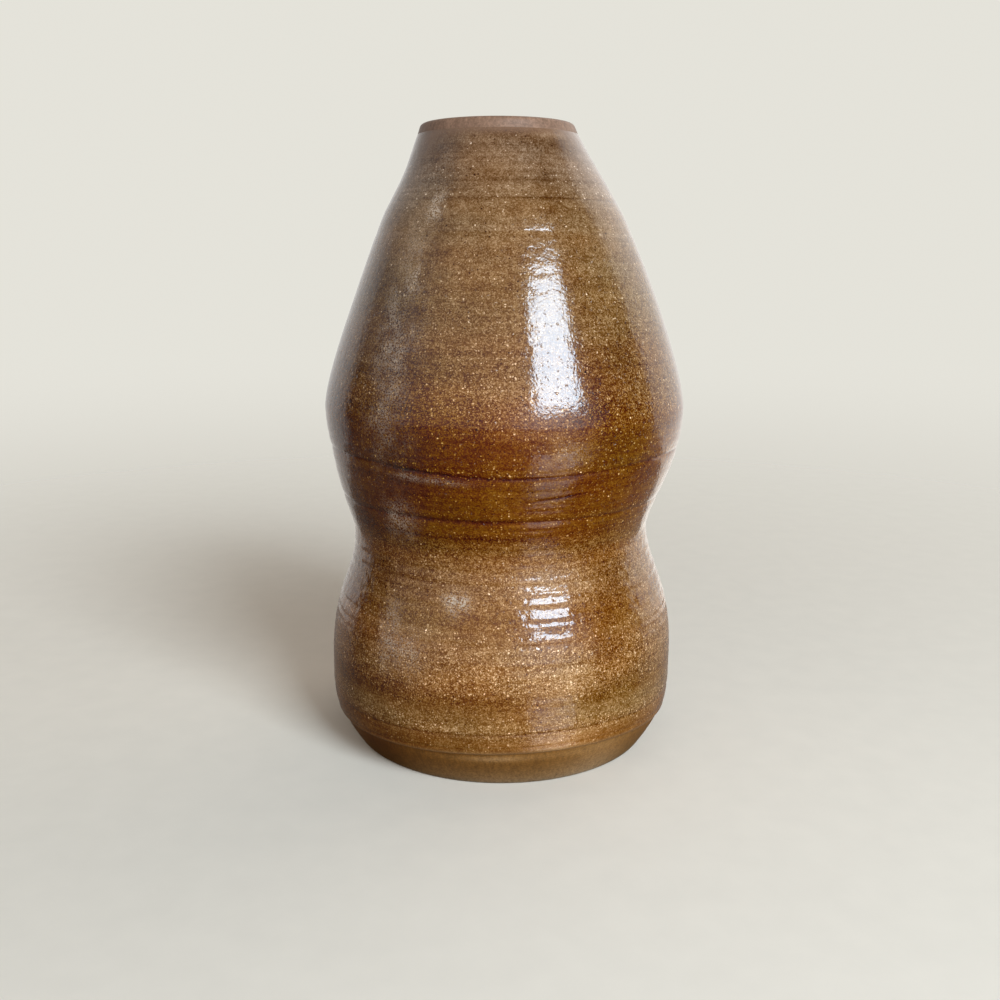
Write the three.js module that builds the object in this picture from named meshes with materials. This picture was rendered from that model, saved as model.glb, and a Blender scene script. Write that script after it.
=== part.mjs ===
import * as THREE from 'three';

// Stoneware vase in millimetres, +Z up. The origin is the centre of the foot, at table height.
// One wall of wheel-thrown clay swells into a lower bulb, draws in at a waist, swells again into a
// belly and closes in to a small mouth. A glossy glaze coats it outside and another lines it inside.
// The band above the foot and the lip are left bare.

// Heights above the table
const totalHeight = 195;
const bulbHeight = 27;
const waistHeight = 70.5;
const bellyHeight = 109;
const neckHeight = 169;

// Outer radii of the clay at the table, at those heights and at the lip
const footRadius = 49;
const bulbRadius = 55.9;
const waistRadius = 47.4;
const bellyRadius = 56.8;
const neckRadius = 36.1;
const lipRadius = 23.8;

// How fast the wall widens at the foot and narrows at the neck and the lip, in mm for each mm up
const footFlare = 0.67;
const neckTaper = 0.56;
const lipTaper = 0.38;

// Clay thickness
const wallThickness = 5;
const lipThickness = 4;
const floorThickness = 7.5;
const insideCornerRadius = 12;

// Trimmed foot: the flat ring that the vase stands on, and the hollow inside that ring
const footEdgeRound = 1.2;
const footRingWidth = 9;
const footHollowDepth = 1.5;
const footHollowSlope = 2.5;

// Glaze coats, and the bare clay that each coat stops short of
const outerCoat = 0.45;
const linerCoat = 0.4;
const glazeGap = 0.05;
const bareFootBand = 11.5;
const bareLipOutside = 3.5;
const bareLipInside = 3;

// Grooves left by the thrower's fingers and the trimming tool, from the foot up
const grooves = [
  { height: 17.5, depth: 0.35, halfWidth: 1.1 },
  { height: 82, depth: 0.55, halfWidth: 1.4 },
  { height: 96.5, depth: 0.65, halfWidth: 1.5 },
];

// Fineness of the facets
const stepsAround = 36;
const outsideSteps = 5;
const insideSteps = 3;
const closestHeights = 1;
const roundSteps = 3;
const cornerSteps = 4;
const grooveMarks = [-1.6, 0, 1.6];

// Rounding of the lip's two edges, which together stay within its thickness
const lipOuterRound = 0.4 * lipThickness;
const lipInnerRound = 0.5 * lipThickness;

// Angles of the wall at its two ends, from upright
const footAngle = Math.atan(footFlare);
const lipAngle = Math.atan(lipTaper);
const wallStart = footEdgeRound * (1 - Math.sin(footAngle));
const wallEnd = totalHeight - lipOuterRound * (1 - Math.sin(lipAngle));
const floorTop = footHollowDepth + floorThickness;

// Heights where the coats begin and end
const outerGlazeTop = totalHeight - bareLipOutside;
const linerTop = totalHeight - bareLipInside;

// The outline's turning points. slope is the change of radius for each mm up. below and above say
// how firmly the wall holds that slope, as a share of the way to the next turning point.
const turningPoints = [
  { height: wallStart, radius: footRadius, slope: footFlare, below: 0, above: 0.43 },
  { height: bulbHeight, radius: bulbRadius, slope: 0, below: 0.45, above: 0.56 },
  { height: waistHeight, radius: waistRadius, slope: 0, below: 0.35, above: 0.11 },
  { height: bellyHeight, radius: bellyRadius, slope: 0, below: 0.42, above: 0.19 },
  { height: neckHeight, radius: neckRadius, slope: -neckTaper, below: 0.08, above: 0.48 },
  { height: wallEnd, radius: lipRadius, slope: -lipTaper, below: 0.48, above: 0 },
];

// One stretch of wall between two turning points, radius along X and height along Y
function stretchBetween(lower, upper) {
  const rise = upper.height - lower.height;
  const leave = rise * lower.above;
  const arrive = rise * upper.below;
  return new THREE.CubicBezierCurve(
    new THREE.Vector2(lower.radius, lower.height),
    new THREE.Vector2(lower.radius + lower.slope * leave, lower.height + leave),
    new THREE.Vector2(upper.radius - upper.slope * arrive, upper.height - arrive),
    new THREE.Vector2(upper.radius, upper.height),
  );
}

const stretches = turningPoints.slice(1).map((upper, index) => stretchBetween(turningPoints[index], upper));

// Radius of the smooth outline at a height, found by halving the stretch that holds the height
function outlineRadius(height) {
  const found = stretches.findIndex((stretch) => height <= stretch.v3.y);
  const stretch = stretches[found < 0 ? stretches.length - 1 : found];
  let low = 0;
  let high = 1;
  for (let halving = 0; halving < 40; halving += 1) {
    const middle = (low + high) / 2;
    if (stretch.getPoint(middle).y < height) {
      low = middle;
    } else {
      high = middle;
    }
  }
  return stretch.getPoint(high).x;
}

// Radius of the clay's outer face, with the grooves pressed into it
function outsideRadius(height) {
  return grooves.reduce((radius, groove) => {
    const away = (height - groove.height) / groove.halfWidth;
    return radius - groove.depth * Math.exp(-away * away);
  }, outlineRadius(height));
}

// The wall thins evenly from the neck to the lip
function thicknessAt(height) {
  const along = THREE.MathUtils.clamp((height - neckHeight) / (totalHeight - neckHeight), 0, 1);
  return THREE.MathUtils.lerp(wallThickness, lipThickness, along);
}

// Radius of the clay's inner face, which follows the smooth outline
function insideRadius(height) {
  return outlineRadius(height) - thicknessAt(height);
}

// Heights from low to high that sample each stretch, closer together where it bends
function wallHeights(low, high, steps) {
  const sampled = stretches.flatMap((stretch) => stretch.getPoints(steps).slice(1));
  const between = sampled.map((point) => point.y).filter(
    (height) => height > low + closestHeights && height < high - closestHeights,
  );
  return [low, ...between, high];
}

// The same heights, with the marks of each groove in place of those that fall in it
function grooveHeights(low, high) {
  const inGroove = (height) => grooves.some(
    (groove) => Math.abs(height - groove.height) < 2.5 * groove.halfWidth,
  );
  const marks = grooves.flatMap(
    (groove) => grooveMarks.map((mark) => groove.height + mark * groove.halfWidth),
  );
  const smooth = wallHeights(low, high, outsideSteps).slice(1, -1).filter((height) => !inGroove(height));
  const between = [...smooth, ...marks].filter((height) => height > low && height < high);
  return [low, ...between.sort((a, b) => a - b), high];
}

// Points of a circle's arc, its angles measured from the outward direction, both ends included
function arcPoints(centreRadius, centreHeight, radius, startAngle, endAngle, steps) {
  return Array.from({ length: steps + 1 }, (_, step) => {
    const angle = THREE.MathUtils.lerp(startAngle, endAngle, step / steps);
    return new THREE.Vector2(
      centreRadius + radius * Math.cos(angle),
      centreHeight + radius * Math.sin(angle),
    );
  });
}

// Moves a line of points sideways, to the right of its direction of travel
function offsetLine(line, distance) {
  return line.map((point, index) => {
    const before = line[Math.max(index - 1, 0)];
    const after = line[Math.min(index + 1, line.length - 1)];
    const travel = after.clone().sub(before).normalize();
    return new THREE.Vector2(point.x + travel.y * distance, point.y - travel.x * distance);
  });
}

// The underside from the axis outwards: the hollow, the flat ring and the rounded edge of the foot
function undersideLine() {
  const ringInner = footRadius - footRingWidth;
  const edgeCentre = footRadius - footEdgeRound * Math.cos(footAngle);
  return [
    new THREE.Vector2(0, footHollowDepth),
    new THREE.Vector2(ringInner - footHollowSlope, footHollowDepth),
    new THREE.Vector2(ringInner, 0),
    ...arcPoints(edgeCentre, footEdgeRound, footEdgeRound, -Math.PI / 2, -footAngle, roundSteps),
  ];
}

// The outer face of the clay between two heights, upwards
function outsideLine(low, high) {
  return grooveHeights(low, high).map((height) => new THREE.Vector2(outsideRadius(height), height));
}

// The lip from its outer edge over the top to its inner edge
function lipLine() {
  const outerEdge = totalHeight - lipOuterRound;
  const innerEdge = totalHeight - lipInnerRound;
  const outerCentre = lipRadius - lipOuterRound * Math.cos(lipAngle);
  const innerCentre = insideRadius(innerEdge) + lipInnerRound;
  return [
    ...arcPoints(outerCentre, outerEdge, lipOuterRound, lipAngle, Math.PI / 2, roundSteps),
    ...arcPoints(innerCentre, innerEdge, lipInnerRound, Math.PI / 2, Math.PI, roundSteps),
  ];
}

// The inner face of the clay from the middle of the floor, round the corner and up to the liner's edge
function insideLine() {
  const cornerTop = floorTop + insideCornerRadius;
  const cornerCentre = insideRadius(cornerTop) - insideCornerRadius;
  const wall = wallHeights(cornerTop, linerTop, insideSteps).slice(1);
  return [
    new THREE.Vector2(0, floorTop),
    ...arcPoints(cornerCentre, cornerTop, insideCornerRadius, -Math.PI / 2, 0, cornerSteps),
    ...wall.map((height) => new THREE.Vector2(insideRadius(height), height)),
  ];
}

// The whole section of the clay, from the axis under the foot round to the axis on the floor
function clayLine() {
  return [
    ...undersideLine(),
    ...outsideLine(wallStart, bareFootBand).slice(1, -1),
    ...outsideLine(bareFootBand, outerGlazeTop),
    ...lipLine(),
    ...insideLine().reverse(),
  ];
}

// The section of the outer coat, which closes on itself
function outerGlazeLine() {
  const clay = outsideLine(bareFootBand, outerGlazeTop);
  const outer = offsetLine(clay, glazeGap + outerCoat);
  const inner = offsetLine(clay, glazeGap);
  return [...outer, ...inner.reverse(), outer[0].clone()];
}

// The coat that makes the inside watertight, from the axis out, up to the mouth and back
function linerGlazeLine() {
  const clay = insideLine();
  return [
    ...offsetLine(clay, -glazeGap),
    ...offsetLine(clay, -glazeGap - linerCoat).reverse(),
  ];
}

// A closed solid turned about the upright axis
function turnedPiece(name, section, material) {
  const geometry = new THREE.LatheGeometry(section, stepsAround);
  geometry.rotateX(Math.PI / 2);
  const piece = new THREE.Mesh(geometry, material);
  piece.name = name;
  return piece;
}

const bareClay = new THREE.MeshStandardMaterial({ color: 0x86693f, roughness: 0.62, metalness: 0 });
const amberGlaze = new THREE.MeshStandardMaterial({ color: 0x7a5527, roughness: 0.18, metalness: 0 });
const brownLiner = new THREE.MeshStandardMaterial({ color: 0x5f4020, roughness: 0.22, metalness: 0 });

const vase = new THREE.Group();
vase.add(turnedPiece('clay_body', clayLine(), bareClay));
vase.add(turnedPiece('outer_glaze', outerGlazeLine(), amberGlaze));
vase.add(turnedPiece('liner_glaze', linerGlazeLine(), brownLiner));

export default vase;
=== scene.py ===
import math

import bmesh
import bpy
import numpy as np
from mathutils import Matrix, Vector


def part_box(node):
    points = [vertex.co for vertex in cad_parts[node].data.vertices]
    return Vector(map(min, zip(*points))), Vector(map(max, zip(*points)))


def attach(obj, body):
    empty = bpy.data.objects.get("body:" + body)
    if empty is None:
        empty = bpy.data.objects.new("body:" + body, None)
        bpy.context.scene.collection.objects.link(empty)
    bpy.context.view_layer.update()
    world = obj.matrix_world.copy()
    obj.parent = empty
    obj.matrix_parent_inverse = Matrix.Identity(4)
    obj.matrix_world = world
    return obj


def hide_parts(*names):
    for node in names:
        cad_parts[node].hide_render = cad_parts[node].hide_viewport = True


# Looks of a wheel-thrown stoneware vase: bare clay at the foot and lip, a glossy speckled amber glaze
# outside and a dark glaze lining. Lengths of the vase are in millimetres. Those of the stage, the camera
# and the patterns inside the materials are in metres. An azimuth is measured round the vase from the
# viewer's side, -Y, towards +X.

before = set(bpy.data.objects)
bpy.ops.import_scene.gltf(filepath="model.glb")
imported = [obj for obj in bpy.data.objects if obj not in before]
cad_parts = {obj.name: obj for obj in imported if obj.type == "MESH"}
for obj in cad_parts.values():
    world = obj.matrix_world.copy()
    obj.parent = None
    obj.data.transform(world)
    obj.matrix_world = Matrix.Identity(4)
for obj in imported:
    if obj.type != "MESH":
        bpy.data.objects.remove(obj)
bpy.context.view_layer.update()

MM = 0.001


def extent(name, corner, axis):
    """A coordinate of a node's lowest (0) or highest (1) corner, in millimetres."""
    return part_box(name)[corner][axis] / MM


# Sizes that the frame gives
total_height = extent("clay_body", 1, 2)
glaze_low = extent("outer_glaze", 0, 2)
glaze_high = extent("outer_glaze", 1, 2)
liner_low = extent("liner_glaze", 0, 2)
liner_high = extent("liner_glaze", 1, 2)
widest_radius = extent("outer_glaze", 1, 0)

# Coats and clay
coat = 0.45
glaze_gap = 0.05
liner_coat = 0.4
wall_thickness = 5.0
lip_thickness = 4.0
thinning_from = 169.0
inside_corner = 12.0
lip_outer_round = 1.6
lip_inner_round = 2.0
foot_edge_round = 1.2
foot_ring_width = 9.0
foot_hollow_depth = 1.5
foot_hollow_slope = 2.5
belly_radius = widest_radius - coat - glaze_gap
floor_top = liner_low - glaze_gap
corner_top = floor_top + inside_corner
inner_edge = total_height - lip_inner_round

# The hollow under the vase: how far its upper corner and the one at the foot ring round off to both sides,
# the rise of the latter, and a row on the ring's flat
hollow_corner_inside = 0.6
hollow_corner_outside = 0.3
ring_corner_inside = 0.5
ring_corner_outside = 0.4
ring_corner_rise = 0.25
ring_flat_row = 3

# Circles of points on the underside, the floor and the lining, from the smallest one round the axis
axis_circle = 2.0
underside_circle = 18.0
floor_circle = 20.0
liner_circles = [axis_circle, 15.0, 28.0]

# The outer coat's edges: the film left at both, the heights in which the lower one rounds off and the upper
# one thins away, how bluntly it does, and the bead along the lower one
edge_film = 0.02
low_edge_round = 0.8
high_edge_fade = 8
high_edge_bluntness = 0.8
bead_rise = 0.12
bead_middle = 0.9
bead_half_width = 0.7
# The lining's upper edge: the film left there and the height in which it thins away
liner_edge_film = 0.05
liner_edge_fade = 1.5

# The outline's turning points: height, radius of the clay, slope, and how firmly the wall holds that
# slope below and above, as shares of the way to the next turning point
foot_flare = 0.67
lip_taper = 0.38
wall_start = foot_edge_round * (1 - math.sin(math.atan(foot_flare)))
wall_end = total_height - lip_outer_round * (1 - math.sin(math.atan(lip_taper)))
foot_radius = 49.0
lip_radius = 23.8
turning_points = [
    (wall_start, foot_radius, foot_flare, 0, 0.43),
    (27, 55.9, 0, 0.45, 0.56),
    (70.5, 47.4, 0, 0.35, 0.11),
    (109, belly_radius, 0, 0.42, 0.19),
    (169, 36.1, -0.56, 0.08, 0.48),
    (wall_end, lip_radius, -lip_taper, 0.48, 0),
]

# How far the thrown wall strays sideways from a straight axis, towards +X, at heights up the vase
lean_points = [
    (0, -0.8), (27, -0.6), (45, -0.3), (58, -0.2), (74, -1.45), (82, -1.1), (95, 0.1),
    (110, 0), (140, 0.2), (152, 0), (170, -0.6), (180, -0.9), (190, -2.3), (196, -2.7),
]
rim_tilt = math.radians(0.3)
# Where the rim's tilt starts, and a margin past the lip's radius that keeps its high side in the frame's box
tilt_start = 150
tilt_margin = 3

# Waves that carry the glaze's edge and the grooves up and down as they go round:
# height, rise, lobes, azimuth of a crest, reach up and down
waves = [
    (13, 1.9, 2, math.radians(18), 8),
    (96.5, -1.3, 3, math.radians(3), 7),
]

# Grooves that go all the way round: height, depth, half-width
broad_grooves = [
    (18, 0.12, 0.9),
    (76.8, 0.06, 0.9),
    (82, 0.16, 1.3),
    (96.5, 0.18, 1.5),
    (171.5, 0.02, 0.6),
]
# Creases in the glaze, thinner than the grooves: height, depth, half-width
creases = [
    (13.3, 0.1, 0.45),
    (18, 0.08, 0.4),
    (79.2, 0.04, 0.5),
    (82, 0.12, 0.5),
    (85.6, 0.03, 0.6),
    (92.4, 0.03, 0.6),
    (96.5, 0.14, 0.5),
    (162.2, 0.08, 0.95),
    (171.5, 0.015, 0.4),
]
# A short groove on the viewer's side: height, depth, half-width, and the azimuth of its middle and half its
# length in degrees
short_groove = (89.6, 0.12, 0.45, 18, 8)
# How far it rises over half its length
short_groove_rise = 0.96

# Dark lines painted along the grooves and creases, painted shade in these hollows: height, strength,
# half-width, and the azimuth where it is strongest and the angle from there at which it has faded, in degrees
painted_shade_lines = [
    (13, 0.35, 0.5, -30, 90),
    (18, 0.65, 0.5, -30, 90),
    (76.4, 0.55, 0.5, -15, 60),
    (82, 1, 0.6, 2, 36),
    (96.5, 1.05, 0.6, -20, 55),
    (171.5, 0.75, 0.3, 0, 90),
    (176.5, 0.4, 0.3, 0, 90),
    (179, 0.3, 0.3, 0, 90),
]
# The share of its strength that a painted shade line keeps where it has faded
faded_share = 0.3
# The mean distance above a painted shade line where light flecks gather, and how far they spread
fleck_rise = 1.5
fleck_band = 0.9
# The pale line along the ridge, partly the glaze's paler roll and partly a painted highlight: its height
# above the glaze's lower edge, and its half-width
ridge_rise = 0.2
ridge_half_width = 0.7

# Patches where the glaze is lighter or, with a strength below 0, darker: azimuth and height of the middle,
# half-width, half-height, strength. Many are painted light: the light patches at azimuths 17 to 31 are
# painted sheens and highlight fringes of the window, and the dark ones towards both sides are painted shade.
# The others vary the glaze's own tone.
tone_light_and_shade_patches = [
    (17, 13, 8, 4.5, 0.85),
    (28, 15, 8, 5, 0.3),
    (18, 31, 8, 8, 0.6),
    (-20, 23, 4, 3, -0.3),
    (-14, 19.8, 9, 1, 0.45),
    (-13, 40, 8, 5, 0.2),
    (-39, 30, 8, 5, -0.25),
    (-33, 32, 4, 3, -0.15),
    (36, 42, 6, 6, -0.3),
    (-38, 14, 16, 6, -0.25),
    (50, 35, 12, 8, -0.3),
    (-55, 30, 12, 16, -0.35),
    (20, 61, 12, 5, 0.32),
    (18, 50, 8, 4, -0.35),
    (38, 57, 10, 9, -0.25),
    (-10, 62, 14, 8, 0.25),
    (-41, 82, 13, 8, -0.28),
    (-46, 64, 12, 6, -0.18),
    (31, 60, 5, 4, 0.3),
    (-30, 92, 12, 6, -0.28),
    (20, 103, 7.5, 4.5, 0.5),
    (48, 92, 5, 6, -0.25),
    (-8, 113, 16, 4, 0.1),
    (-33, 118, 10, 22, -0.3),
    (-10, 126, 20, 17, 0.15),
    (24, 115, 7, 9, -0.22),
    (-2, 120, 15, 5, 0.18),
    (28, 132, 5, 7, 0.2),
    (-60, 108, 10, 16, -0.25),
    (21.5, 177, 3.2, 11, -0.27),
    (5, 162, 3, 20, -0.06),
    (-4, 150, 5, 10, 0.1),
    (-39, 183, 4, 8, -0.5),
    (-9, 187, 4, 3, 0.25),
    (-26, 168.5, 10, 4, 0.14),
    (-30, 174.5, 9, 2.2, -0.25),
    (-28, 166, 3.5, 20, -0.35),
    (-40, 138, 9, 12, -0.45),
    (-56, 148, 7, 9, -0.4),
    (-57, 78, 8, 6, -0.35),
    (37, 190.2, 6, 1.4, 0.7),
    (42, 186, 5, 3, -0.25),
    (8, 190, 8, 1.6, -0.3),
]
# Patches where the glaze is more olive or, below 0, redder, in the same terms
olive_patches = [
    (48, 135, 22, 30, 0.6),
    (40, 103, 16, 17, 1),
    (-34, 104, 14, 13, 0.7),
    (48, 40, 26, 30, 0.4),
    (-35, 16, 26, 7, 0.5),
    (-60, 60, 25, 60, 0.4),
    (-45, 150, 20, 45, 0.6),
    (4, 103, 17, 9, -0.6),
    (-8, 115, 16, 6, -0.4),
    (10, 174, 12, 10, 0.5),
]
# Patches where the glaze swallows more blue, in the same terms
yellow_patches = [
    (-25, 99, 19, 19, 0.1),
    (27, 111, 7, 4, 0.06),
]
# Patches near the lip where the glaze is thin and the clay shows through, in the same terms
thin_patches = [
    (-62, 190, 12, 6, 0.8),
    (-20, 191.6, 20, 1.5, 0.75),
    (38, 191.6, 14, 1.6, 0.75),
    (75, 187, 11, 8, 0.8),
    (150, 191, 40, 2, 0.6),
    (-135, 191, 30, 2.5, 0.6),
]
# Patches where the bare clay is lighter or darker, in the same terms. Most are painted light and shade: the
# foot lit on the window's side and shaded on the other, and a painted highlight along the ridge at the
# glaze's lower edge
clay_light_and_shade_patches = [
    (34, 5, 12, 12, 0.55),
    (-46, 5, 12, 12, -0.55),
    (-2, 10.8, 9, 1.1, 0.6),
    (8, 10.8, 34, 1.1, 0.22),
    (2, 1.5, 30, 4, 0.4),
]
# Milky patches in the glaze, in the same terms, partly painted reflection: the patch at azimuth 18 and height
# 102.5 is a painted sheen of the window, and the tall patch at azimuth -38 paints a soft veil of reflection
milk_and_sheen_patches = [
    (-15.6, 57, 3, 3, 1.25),
    (-39, 44.5, 3.4, 7, 1.1),
    (-32, 41, 8, 7, 0.35),
    (-37, 103, 8, 8, 0.3),
    (-36, 80, 5, 6, 0.7),
    (-27, 94.3, 12, 1, 0.38),
    (-38, 130, 7, 30, 0.45),
    (-32, 169.5, 3, 5, 0.65),
    (-34, 152, 1.2, 7, 0.6),
    (-40, 178, 8, 10, 0.2),
    (18, 102.5, 5.5, 4, 0.22),
]

# Finger rings: pitch, turns in each pitch, share, phase
rings = [
    (3.3, 1, 0.5, 0),
    (2.1, 2, 0.28, 1.7),
    (5.4, 1, 0.35, 4),
    (1.5, -1, 0.14, 2.6),
    (4.2, 1, 0.2, 5.3),
]
# How the rings wander on their way round: lobes, how often a ring's phase counts, reach
ring_drifts = [(2, 3, 0.7), (5, -1, 0.35)]
# How their depth swells up the wall: its middle share, the share that it swings by, and its pace
ring_swell = (0.7, 0.3, 7.3)
# Depth of the rings at heights up the vase
ring_depths = [
    (12, 0), (18, 0.02), (24, 0.05), (32, 0.08), (40, 0.14), (62, 0.16), (69, 0.08), (76, 0.04), (98, 0.05),
    (110, 0.015), (145, 0.007), (159, 0.004), (164, 0.018), (172, 0.02), (188, 0.03), (193, 0),
]
inner_ring_pitch = 5.5
inner_ring_depth = 0.18
# The lining's rings: the radius where they start, the way to full depth, and the height in which they end
inner_rings_from = 20
inner_rings_fade_in = 10
inner_rings_fade_out = 4

# Fineness of the meshes: points in a row, spaces between rows, and steps in an arc
columns = 180
fine_rows = 0.5
hidden_rows = 1.2
liner_rows = 1.1
inside_rows = 2
arc_steps = 8
liner_arc_steps = 12
# How far the clay's fine rows go on under the glaze, at the foot and at the lip
foot_overlap = 1
lip_overlap = 3
# How much closer the glaze's rows are at a crease, over how many half-widths, the share of rows that is kept
# in all, and the step of the search
crease_crowding = 1.6
crease_reach = 4
kept_row_share = 0.85
search_step = 0.1

# Faces that meet at a wider angle than this show an edge
sharpest_smooth_angle = math.radians(40)

azimuths = np.linspace(0, 2 * math.pi, columns, endpoint=False)[None, :]


def outline_samples(steps=120):
    """Heights and radii along the smooth outline of the clay, from cubic curves between turning points."""
    along = np.linspace(0, 1, steps)
    heights, radii = [], []
    for low, high in zip(turning_points[:-1], turning_points[1:]):
        rise = high[0] - low[0]
        leave, arrive = rise * low[4], rise * high[3]
        weights = [(1 - along) ** 3, 3 * along * (1 - along) ** 2, 3 * along ** 2 * (1 - along), along ** 3]
        knot_heights = [low[0], low[0] + leave, high[0] - arrive, high[0]]
        knot_radii = [low[1], low[1] + low[2] * leave, high[1] - high[2] * arrive, high[1]]
        heights.append(sum(w * h for w, h in zip(weights, knot_heights))[:-1])
        radii.append(sum(w * r for w, r in zip(weights, knot_radii))[:-1])
    return np.append(np.concatenate(heights), wall_end), np.append(np.concatenate(radii), lip_radius)


outline_heights, outline_radii = outline_samples()
outline_slopes = np.gradient(outline_radii, outline_heights)


def clay_radius(height):
    return np.interp(height, outline_heights, outline_radii)


def clay_slope(height):
    return np.interp(height, outline_heights, outline_slopes)


def thickness_at(height):
    along = np.clip((height - thinning_from) / (total_height - thinning_from), 0, 1)
    return wall_thickness + (lip_thickness - wall_thickness) * along


def inside_radius(height):
    return clay_radius(height) - thickness_at(height)


def smooth_line(points, heights, reach=4.0, steps=9):
    """Values of a line through points, with its corners rounded over the reach."""
    at, values = zip(*points)
    shifts = np.linspace(-reach, reach, steps)
    return np.mean([np.interp(heights + shift, at, values) for shift in shifts], axis=0)


def wave_shift(height):
    """How far each column moves a row of that height up or down."""
    shift = np.zeros((len(height), columns))
    for middle, rise, lobes, crest, reach in waves:
        near = np.exp(-((height - middle) / reach) ** 2) * np.clip(height / middle, 0, 1) ** 2
        shift += rise * near[:, None] * np.cos(lobes * (azimuths - crest))
    return shift


def pressed(height, lines):
    """Depth of grooves, or strength of lines, at heights on the wall, the same all the way round."""
    return sum(depth * np.exp(-((height - middle) / width) ** 2) for middle, depth, width in lines)


def turn_from(azimuth):
    """The angle from an azimuth in degrees to each column, the short way round."""
    return (azimuths - math.radians(azimuth) + math.pi) % (2 * math.pi) - math.pi


def short_groove_depth(height):
    middle, depth, width, centre, half_angle = short_groove
    along = turn_from(centre) / math.radians(half_angle)
    rising = height[:, None] - middle - short_groove_rise * along
    return depth * np.exp(-(rising / width) ** 2) * np.exp(-along ** 4)


def ring_depth(height):
    """Depth of the spiral finger rings, never above the smooth outline."""
    wave = np.zeros((len(height), columns))
    for pitch, turns, share, phase in rings:
        drift = sum(reach * np.sin(lobes * azimuths + shift * phase) for lobes, shift, reach in ring_drifts)
        wave += share * np.sin(2 * math.pi * height[:, None] / pitch - turns * azimuths + phase + drift)
    middle_share, swing_share, pace = ring_swell
    swell = middle_share + swing_share * np.sin(height / pace)
    return (smooth_line(ring_depths, height) * swell)[:, None] * (1 - wave)


def outer_wall(height, offset, with_creases):
    """Radius and height of each point of a face that lies offset from the clay's outer wall."""
    slope = clay_slope(height)
    length = np.sqrt(1 + slope ** 2)
    depth = pressed(height, broad_grooves)[:, None] + ring_depth(height)
    if with_creases:
        depth = depth + pressed(height, creases)[:, None] + short_groove_depth(height)
    out = (offset[:, None] if np.ndim(offset) else offset) - depth
    shifted = height[:, None] + wave_shift(height)
    radius = clay_radius(shifted) + out / length[:, None]
    return radius, shifted - out * (slope / length)[:, None]


def glaze_marks(height):
    """The marks that the glaze's colour reads at each point of its outer face, painted light and shade among
    them.
    """
    around = np.ones((1, columns))
    crease = short_groove_depth(height) / short_groove[1]
    for middle, strength, width, strongest, fade in painted_shade_lines:
        near = np.exp(-(turn_from(strongest) / math.radians(fade)) ** 2)
        line = pressed(height, [(middle, strength, width)])[:, None]
        crease = crease + line * (faded_share + (1 - faded_share) * near)
    flecks = pressed(height, [(line[0] + fleck_rise, line[1], fleck_band) for line in painted_shade_lines])
    ridge = np.exp(-((height - glaze_low - ridge_rise) / ridge_half_width) ** 2)
    # crease is painted shade, ridge partly a painted highlight, milk partly painted reflection, tone partly
    # painted light
    return {
        "crease": np.clip(crease, 0, 1),
        "flecks": flecks[:, None] * around,
        "thin": np.clip(np.sum(patch_layers(height, thin_patches), axis=0), 0, 1),
        "milk_and_sheen": np.max(patch_layers(height, milk_and_sheen_patches), axis=0),
        "olive": np.sum(patch_layers(height, olive_patches), axis=0),
        "ridge": ridge[:, None] * around,
        "tone": np.sum(patch_layers(height, tone_light_and_shade_patches), axis=0),
        "yellow": np.sum(patch_layers(height, yellow_patches), axis=0),
    }


def patch_layers(height, patches):
    """The strength of each soft-edged patch at each point of the wall."""
    layers = []
    for azimuth, middle, half_width, half_height, strength in patches:
        across = turn_from(azimuth) * clay_radius(middle) / half_width
        up = (height[:, None] - middle) / half_height
        layers.append(strength * np.exp(-(across ** 2 + up ** 2)))
    return layers


def plain_rows(radii, heights):
    """Rows with no waves or grooves, the same in every column."""
    ones = np.ones((1, columns))
    return np.asarray(radii)[:, None] * ones, np.asarray(heights)[:, None] * ones


def arc_rows(centre_radius, centre_height, radius, start, end, steps=arc_steps):
    angles = np.linspace(start, end, steps + 1)
    return centre_radius + radius * np.cos(angles), centre_height + radius * np.sin(angles)


def row_heights(low, high, spacing):
    return np.linspace(low, high, max(2, round((high - low) / spacing) + 1))


def crease_row_heights(low, high):
    """Rows that are closer together where a crease is."""
    even = row_heights(low, high, search_step)
    near = sum(np.exp(-((even - middle) / (crease_reach * width)) ** 2) for middle, _, width in creases)
    density = np.cumsum((1 + crease_crowding * np.clip(near, 0, 1)) * search_step)
    count = round((density[-1] - density[0]) / fine_rows * kept_row_share)
    return np.interp(np.linspace(density[0], density[-1], count), density, even)


def stack(*faces):
    return np.concatenate([face[0] for face in faces]), np.concatenate([face[1] for face in faces])


def past_first(rows):
    """Rows without the first."""
    return rows[0][1:], rows[1][1:]


def turned_places(radius, height):
    """Points in metres, with the lean of the wall and the tilt of the rim."""
    x = radius * np.sin(azimuths) + smooth_line(lean_points, height)
    y = -radius * np.cos(azimuths)
    rim_share = np.clip((height - tilt_start) / (total_height - tilt_start), 0, 1) ** 2
    lowered = math.tan(rim_tilt) * (lip_radius + tilt_margin)
    z = height + rim_share * (math.tan(rim_tilt) * x - lowered)
    return np.stack([x, y, z], axis=-1) * MM


def turned_faces(count, closed_ring):
    """Four-sided faces between rows, and from the last row to the first if they close."""
    faces = []
    for row in range(count if closed_ring else count - 1):
        upper = (row + 1) % count
        for column in range(columns):
            after = (column + 1) % columns
            faces.append((row * columns + column, row * columns + after,
                          upper * columns + after, upper * columns + column))
    return faces


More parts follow.
